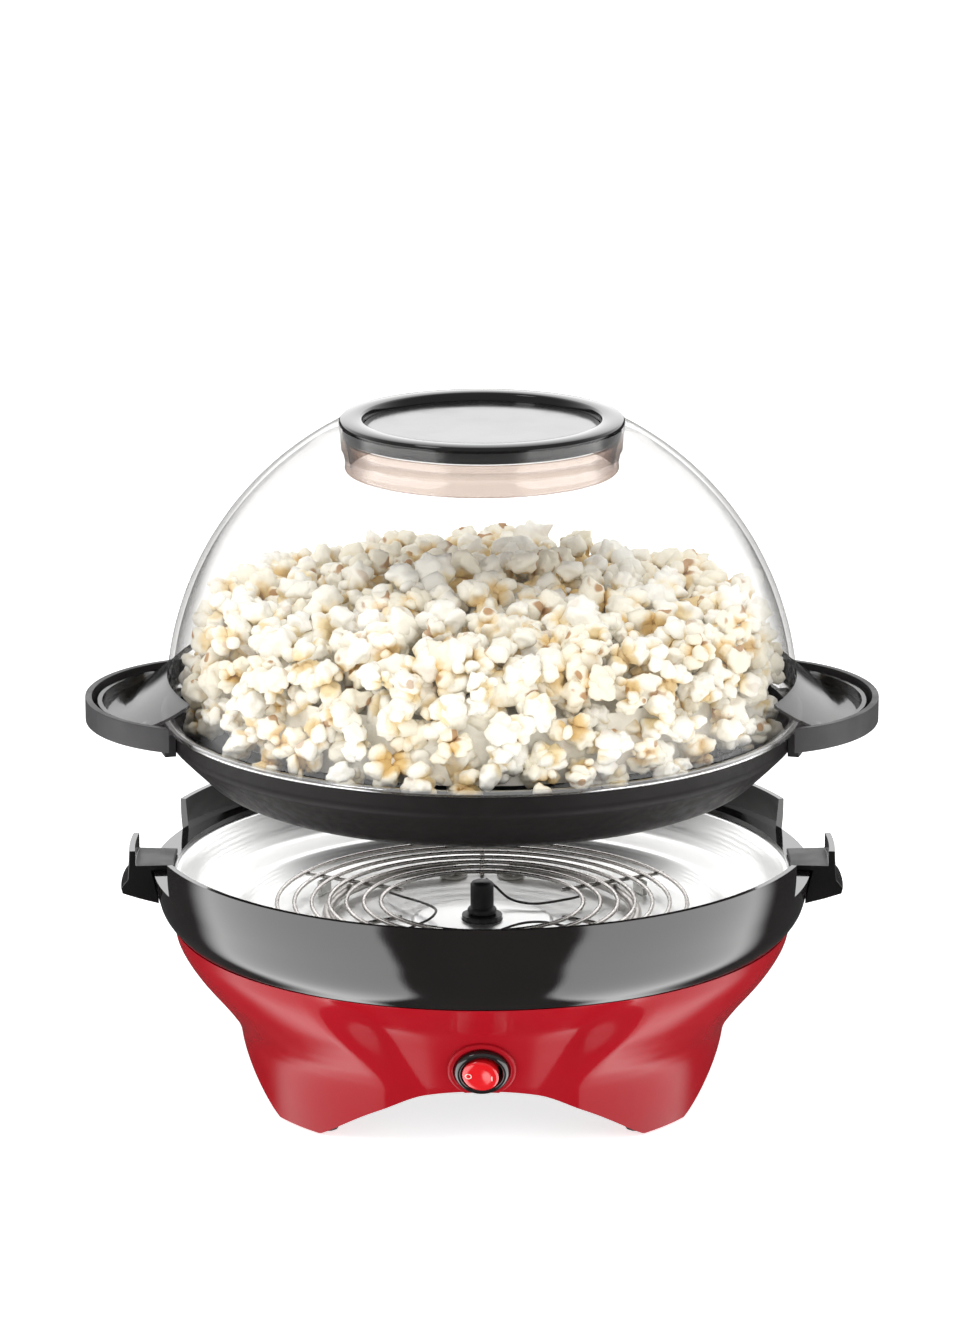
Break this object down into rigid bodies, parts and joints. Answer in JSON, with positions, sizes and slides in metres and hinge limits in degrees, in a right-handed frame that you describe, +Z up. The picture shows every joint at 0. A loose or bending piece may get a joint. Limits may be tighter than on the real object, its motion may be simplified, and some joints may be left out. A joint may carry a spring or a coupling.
{
  "type": "popcorn maker",
  "caption": "Electric stirring popcorn maker: heated base with four legs, lift-off pan with side handles, clear hemispherical dome and round cap.",
  "frame": {"origin": "on the surface that the base stands on, at the middle of the object, under the drive shaft", "axes": "+Z up; +X to the right along the two pan handles; the switch at the front faces -Y"},
  "size_m": [0.357, 0.2992, 0.3088],
  "materials": {
    "red_gloss_plastic": "high gloss",
    "black_gloss_plastic": "high gloss",
    "black_matte_plastic": "fine satin",
    "clear_plastic": "clear gloss",
    "non_stick_coat": "dark non-stick coating",
    "polished_aluminium": "polished",
    "steel": "drawn wire and pressed sheet",
    "element_sheath": "heat-darkened",
    "rubber": "matte",
    "nylon": "satin",
    "ceramic": "unglazed",
    "brass": "machined",
    "rocker_red": "high gloss"
  },
  "bodies": {
    "base": {"lower_shell": "red_gloss_plastic", "upper_ring": "black_gloss_plastic", "side_grip_left": "black_gloss_plastic", "side_grip_right": "black_gloss_plastic", "bottom_cover": "black_matte_plastic", "foot_pad_1": "rubber", "foot_pad_2": "rubber", "foot_pad_3": "rubber", "foot_pad_4": "rubber", "cord_inlet": "rubber", "cover_screw_1": "steel", "cover_screw_2": "steel", "cover_screw_3": "steel", "cover_screw_4": "steel", "bowl_screw_1": "steel", "bowl_screw_2": "steel", "bowl_screw_3": "steel", "bowl_screw_4": "steel", "reflector_bowl": "polished_aluminium", "heat_shield": "steel", "heating_element": "element_sheath", "element_terminal_1": "ceramic", "element_terminal_2": "ceramic", "wire_grill": "steel", "grill_clip_1": "steel", "grill_clip_2": "steel", "grill_clip_3": "steel", "gearbox_housing": "nylon", "gearbox_lid": "steel", "shaft_bush": "nylon", "standoff_1": "steel", "standoff_2": "steel", "standoff_3": "steel", "motor": "steel", "thermostat": "ceramic", "thermal_fuse": "steel", "terminal_block": "nylon", "switch_bezel": "black_gloss_plastic"},
    "drive": {"drive_shaft": "black_matte_plastic", "output_gear": "nylon"},
    "pinion": {"motor_pinion": "brass"},
    "rocker": {"switch_rocker": "rocker_red"},
    "pan": {"cooking_pan": "non_stick_coat", "pan_handle_left": "black_matte_plastic", "pan_handle_right": "black_matte_plastic", "handle_screw_1": "steel", "handle_screw_2": "steel", "handle_screw_3": "steel", "handle_screw_4": "steel", "pan_bushing": "polished_aluminium"},
    "stirrer": {"stirrer_hub": "black_matte_plastic", "stirring_rod": "steel"},
    "cover": {"dome": "clear_plastic"},
    "cap": {"cap_ring": "black_gloss_plastic", "cap_disc": "black_gloss_plastic"}
  },
  "joints": [
    {"name": "pan_lift", "type": "slide", "parent": "base", "child": "pan", "axis": [0, 0, 1], "range_m": [-0.058, 0.03]},
    {"name": "dome_lift", "type": "slide", "parent": "pan", "child": "cover", "axis": [0, 0, 1], "range_m": [0, 0.11]},
    {"name": "cap_lift", "type": "slide", "parent": "cover", "child": "cap", "axis": [0, 0, 1], "range_m": [0, 0.03]},
    {"name": "shaft_spin", "type": "hinge", "parent": "base", "child": "drive", "pos_m": [0, 0, 0.085], "axis": [0, 0, 1], "continuous": true},
    {"name": "pinion_spin", "type": "hinge", "parent": "base", "child": "pinion", "pos_m": [0.024, 0, 0.06], "axis": [0, 0, 1], "continuous": true},
    {"name": "stirrer_spin", "type": "hinge", "parent": "pan", "child": "stirrer", "pos_m": [0, 0, 0.155], "axis": [0, 0, 1], "continuous": true},
    {"name": "switch_rock", "type": "hinge", "parent": "base", "child": "rocker", "pos_m": [0, -0.10955, 0.041], "axis": [0, -0.3824, 0.924], "range_deg": [0, 16]}
  ],
  "couplings": [
    {"joint": "pinion_spin", "follows": "shaft_spin", "ratio": -3},
    {"joint": "stirrer_spin", "follows": "shaft_spin", "ratio": 1}
  ]
}
